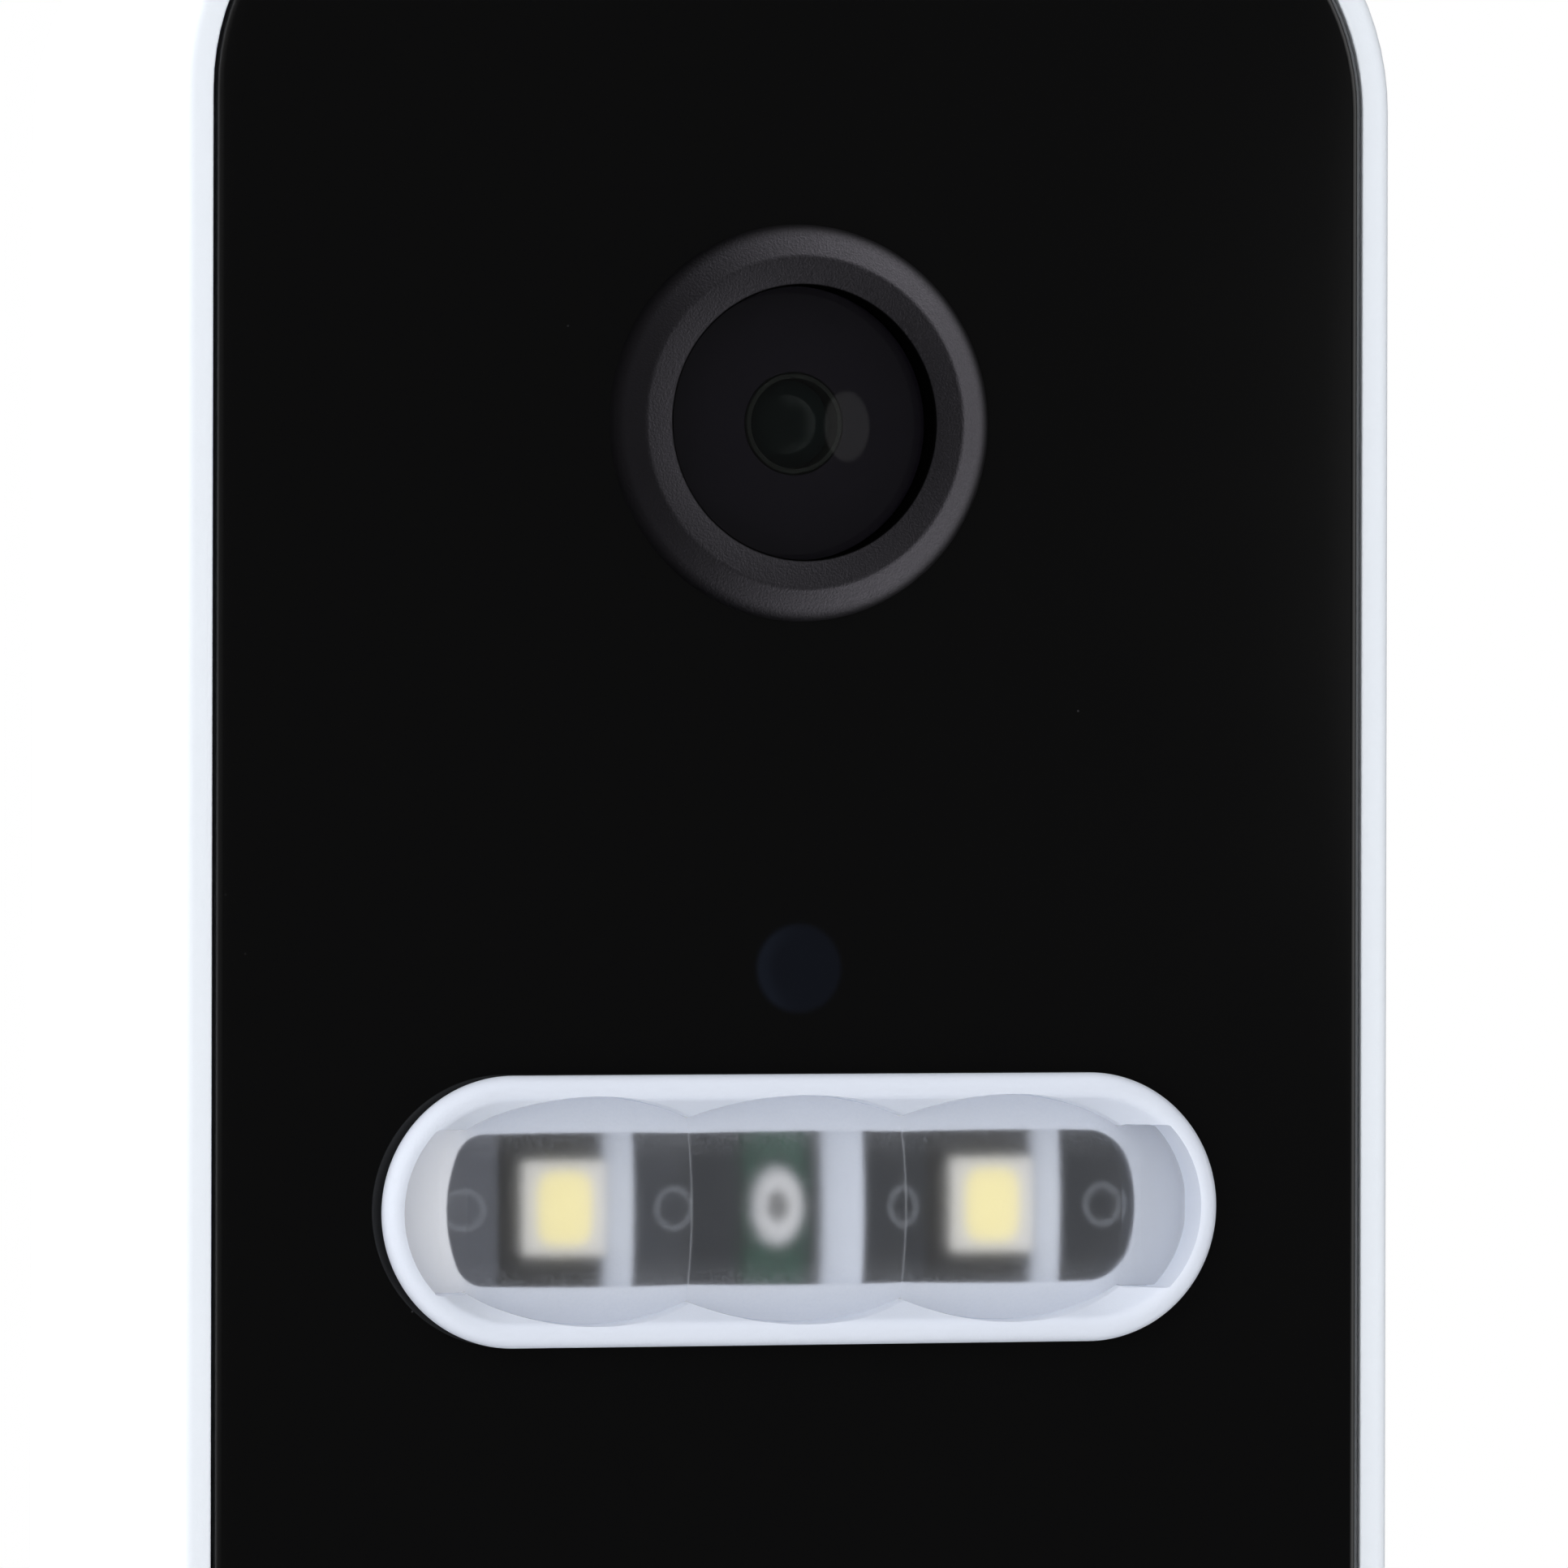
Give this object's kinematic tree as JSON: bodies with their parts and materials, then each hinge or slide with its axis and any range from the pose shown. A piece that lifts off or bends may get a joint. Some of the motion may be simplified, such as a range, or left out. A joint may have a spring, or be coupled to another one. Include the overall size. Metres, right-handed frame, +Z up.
{
  "type": "video doorbell",
  "caption": "Battery video doorbell on a wall bracket: gloss front with a lens, a pill-shaped light, a light sensor and a round push button.",
  "frame": {"origin": "centre of the bracket's back face, which lies on the wall", "axes": "+X to the right seen from the front, +Y into the wall, +Z up"},
  "size_m": [0.0548, 0.0293, 0.146],
  "materials": {
    "white_plastic": "fine satin texture",
    "light_white": "matte white",
    "gloss_black": "polished",
    "satin_black": "fine satin texture",
    "dark_plastic": "matte",
    "bracket_plastic": "fine texture",
    "clear_plastic": "clear moulded",
    "optic_glass": "coated",
    "sensor_blue": "dark filter",
    "rubber": "matte",
    "white_rubber": "matte silicone",
    "foam": "foam",
    "steel": "plated",
    "brass": "plain",
    "board_green": "solder mask",
    "chip_black": "moulded",
    "led_white": "moulded",
    "cell_blue": "shrink sleeve"
  },
  "bodies": {
    "bracket": {"wall_bracket": "bracket_plastic"},
    "doorbell": {"front_housing": "white_plastic", "front_panel": "gloss_black", "panel_tape": "foam", "lens_bezel": "satin_black", "lens_plate": "dark_plastic", "lens_cover": "optic_glass", "lens_barrel": "dark_plastic", "front_lens": "optic_glass", "lens_seal": "rubber", "lens_holder": "dark_plastic", "image_sensor": "chip_black", "sensor_window": "sensor_blue", "sensor_pipe": "clear_plastic", "light_sensor": "chip_black", "light_bezel": "light_white", "light_lens": "clear_plastic", "light_reflector": "light_white", "light_baffle": "dark_plastic", "led_left": "led_white", "led_right": "led_white", "infrared_led": "led_white", "light_board": "board_green", "light_connector": "chip_black", "button_ring": "clear_plastic", "button_switch": "steel", "button_pad": "rubber", "ring_led_left": "led_white", "ring_led_right": "led_white", "microphone": "steel", "microphone_seal": "rubber", "main_board": "board_green", "shield_can": "steel", "wifi_antenna": "brass", "battery_pack": "cell_blue", "battery_pad": "foam", "battery_connector": "led_white", "rear_cover": "white_plastic", "cover_gasket": "white_rubber", "security_screw": "steel", "cover_screw_1": "steel", "cover_screw_2": "steel", "cover_screw_3": "steel", "cover_screw_4": "steel", "board_screw_1": "steel", "board_screw_2": "steel", "terminal_plate_left": "brass", "terminal_plate_right": "brass", "terminal_screw_left": "steel", "terminal_screw_right": "steel", "reset_switch": "steel", "tamper_switch": "steel", "speaker_mesh": "dark_plastic", "speaker": "chip_black", "usb_port": "steel"},
    "button": {"button_cap": "satin_black", "button_plunger": "dark_plastic"},
    "reset": {"reset_button": "rubber"},
    "tamper": {"tamper_plunger": "dark_plastic"},
    "flap": {"usb_flap": "rubber"}
  },
  "joints": [
    {"name": "lift_off", "type": "slide", "parent": "bracket", "child": "doorbell", "axis": [0, 0, 1], "range_m": [0, 0.006]},
    {"name": "button_press", "type": "slide", "parent": "doorbell", "child": "button", "axis": [0, 1, 0], "range_m": [0, 0.0006], "stiffness_N_per_m": 1500},
    {"name": "reset_press", "type": "slide", "parent": "doorbell", "child": "reset", "axis": [0, -1, 0], "range_m": [0, 0.0008], "stiffness_N_per_m": 1000},
    {"name": "tamper_press", "type": "slide", "parent": "doorbell", "child": "tamper", "axis": [0, -1, 0], "range_m": [0, 0.0015], "stiffness_N_per_m": 300},
    {"name": "flap_hinge", "type": "hinge", "parent": "doorbell", "child": "flap", "pos_m": [0.0105, -0.0136, -0.0725], "axis": [1, 0, 0], "range_deg": [0, 100], "stiffness_Nm_per_rad": 0.002}
  ]
}
